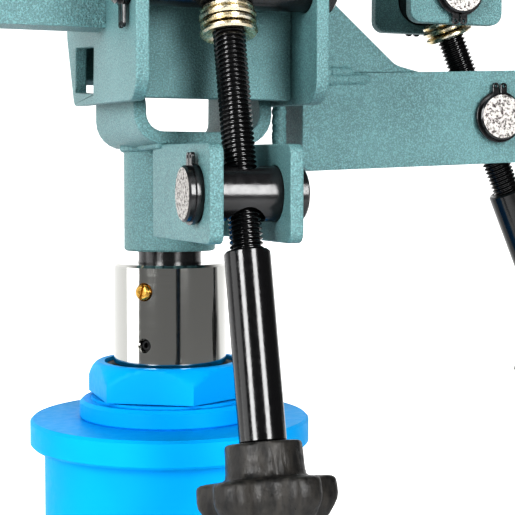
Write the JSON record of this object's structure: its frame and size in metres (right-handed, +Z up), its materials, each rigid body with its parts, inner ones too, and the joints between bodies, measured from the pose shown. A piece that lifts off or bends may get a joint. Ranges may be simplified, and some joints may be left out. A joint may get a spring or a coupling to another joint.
{
  "type": "gearbox jack head and column",
  "caption": "Hydraulic jack column with a two-way tilting saddle head, tilt screws with star knobs, a side arm and a lever pump on a square foot plate.",
  "frame": {"origin": "centre of the foot plate's underside, on the floor under the ram's axis", "axes": "+Z up along the ram, -Y to the front where the pitch screw is, +X to the side arm and pump lever"},
  "size_m": [0.3366, 0.2751, 0.606],
  "materials": {
    "teal_paint": "fine textured powder coat, satin",
    "blue_paint": "smooth bright blue enamel, semi-gloss",
    "black_steel": "black oxide, lightly oiled",
    "chrome": "polished hard chrome",
    "zinc_plate": "zinc plated, slightly yellow",
    "brass": "turned brass",
    "rubber": "matt black rubber",
    "black_plastic": "grained moulded black plastic"
  },
  "bodies": {
    "column": {"foot_plate": "teal_paint", "pump_block": "blue_paint", "reservoir_tube": "blue_paint", "inner_cylinder": "black_steel", "guide_bush": "brass", "top_flange": "blue_paint", "gland_nut": "blue_paint", "ram_wiper": "rubber", "filler_plug": "black_steel", "pump_barrel": "black_steel", "lever_bracket": "teal_paint", "lever_pivot_pin": "black_steel"},
    "plunger": {"pump_plunger": "chrome"},
    "pump_lever": {"lever_socket": "teal_paint", "plunger_pin": "black_steel"},
    "release_valve": {"release_screw": "black_steel"},
    "ram": {"ram": "chrome", "piston": "black_steel", "piston_seal": "rubber", "brass_lock_screw": "brass", "lower_lock_screw": "black_steel"},
    "yoke": {"swivel_spigot": "black_steel", "head_post": "teal_paint", "yoke_strap": "teal_paint", "screw_lug": "teal_paint", "pitch_pivot_pin": "black_steel", "pitch_pivot_washers": "zinc_plate", "pitch_pivot_clips": "black_steel"},
    "pitch_nut": {"pitch_nut": "black_steel", "pitch_nut_clips": "black_steel"},
    "tilt_bracket": {"left_cheek": "teal_paint", "right_cheek": "teal_paint", "cross_plates": "teal_paint", "roll_pivot_mount": "teal_paint", "side_arm": "teal_paint", "side_arm_gussets": "teal_paint", "stop_arm": "teal_paint", "stop_bolt": "zinc_plate"},
    "pitch_swivel": {"pitch_swivel": "black_steel", "pitch_swivel_clips": "black_steel"},
    "pitch_screw": {"pitch_screw": "black_steel", "pitch_thrust_washers": "zinc_plate", "pitch_sleeve": "black_steel", "pitch_knob": "black_plastic", "pitch_end_nut": "zinc_plate"},
    "roll_nut": {"roll_nut": "black_steel", "roll_nut_clips": "black_steel"},
    "saddle": {"saddle_plate": "teal_paint", "saddle_lugs": "teal_paint", "roll_hanger": "teal_paint", "roll_pivot_pin": "black_steel", "saddle_pads": "rubber", "pad_screws": "zinc_plate"},
    "roll_swivel": {"roll_swivel": "black_steel", "roll_swivel_clips": "black_steel"},
    "roll_screw": {"roll_screw": "black_steel", "roll_thrust_washers": "zinc_plate", "roll_sleeve": "black_steel", "roll_knob": "black_plastic", "roll_end_nut": "zinc_plate"}
  },
  "joints": [
    {"name": "pump_stroke", "type": "hinge", "parent": "column", "child": "pump_lever", "pos_m": [0.066, 0, 0.128], "axis": [0, -1, 0], "range_deg": [-10, 25]},
    {"name": "plunger_slide", "type": "slide", "parent": "column", "child": "plunger", "axis": [0, 0, 1], "range_m": [-0.0075, 0.015]},
    {"name": "release_turn", "type": "hinge", "parent": "column", "child": "release_valve", "pos_m": [0.038, -0.065, 0.043], "axis": [0, -1, 0], "range_deg": [0, 540]},
    {"name": "ram_lift", "type": "slide", "parent": "column", "child": "ram", "axis": [0, 0, 1], "range_m": [0, 0.2]},
    {"name": "head_swivel", "type": "hinge", "parent": "ram", "child": "yoke", "pos_m": [0, 0, 0.41], "axis": [0, 0, 1], "continuous": true},
    {"name": "pitch_nut_turn", "type": "hinge", "parent": "yoke", "child": "pitch_nut", "pos_m": [0, -0.101, 0.44], "axis": [1, 0, 0], "range_deg": [-5, 5]},
    {"name": "pitch_tilt", "type": "hinge", "parent": "yoke", "child": "tilt_bracket", "pos_m": [0, 0, 0.524], "axis": [1, 0, 0], "range_deg": [-7.2, 7.2]},
    {"name": "pitch_swivel_turn", "type": "hinge", "parent": "tilt_bracket", "child": "pitch_swivel", "pos_m": [0, -0.08025, 0.518], "axis": [1, 0, 0], "range_deg": [-11, 11]},
    {"name": "pitch_screw_spin", "type": "hinge", "parent": "pitch_swivel", "child": "pitch_screw", "pos_m": [0, -0.101, 0.44], "axis": [0, 0.2571, 0.9664], "range_deg": [-1900, 1900]},
    {"name": "roll_nut_turn", "type": "hinge", "parent": "tilt_bracket", "child": "roll_nut", "pos_m": [0.136, -0.025, 0.47293], "axis": [0, 1, 0], "range_deg": [-7, 7]},
    {"name": "roll_tilt", "type": "hinge", "parent": "tilt_bracket", "child": "saddle", "pos_m": [0, 0, 0.552], "axis": [0, 1, 0], "range_deg": [-5.2, 5.2]},
    {"name": "roll_swivel_turn", "type": "hinge", "parent": "saddle", "child": "roll_swivel", "pos_m": [0.1135, -0.025, 0.5255], "axis": [0, 1, 0], "range_deg": [-12, 12]},
    {"name": "roll_screw_spin", "type": "hinge", "parent": "roll_swivel", "child": "roll_screw", "pos_m": [0.136, -0.025, 0.47293], "axis": [-0.3935, 0, 0.9193], "range_deg": [-1670, 1670]}
  ],
  "couplings": [
    {"joint": "plunger_slide", "follows": "pump_stroke", "m_per_rad": 0.0314},
    {"joint": "pitch_tilt", "follows": "pitch_screw_spin", "ratio": -0.0036779},
    {"joint": "pitch_swivel_turn", "follows": "pitch_screw_spin", "ratio": 0.0049034},
    {"joint": "pitch_nut_turn", "follows": "pitch_screw_spin", "ratio": 0.0012256},
    {"joint": "roll_tilt", "follows": "roll_screw_spin", "ratio": -0.0029871},
    {"joint": "roll_swivel_turn", "follows": "roll_screw_spin", "ratio": 0.006636},
    {"joint": "roll_nut_turn", "follows": "roll_screw_spin", "ratio": 0.0036489}
  ]
}
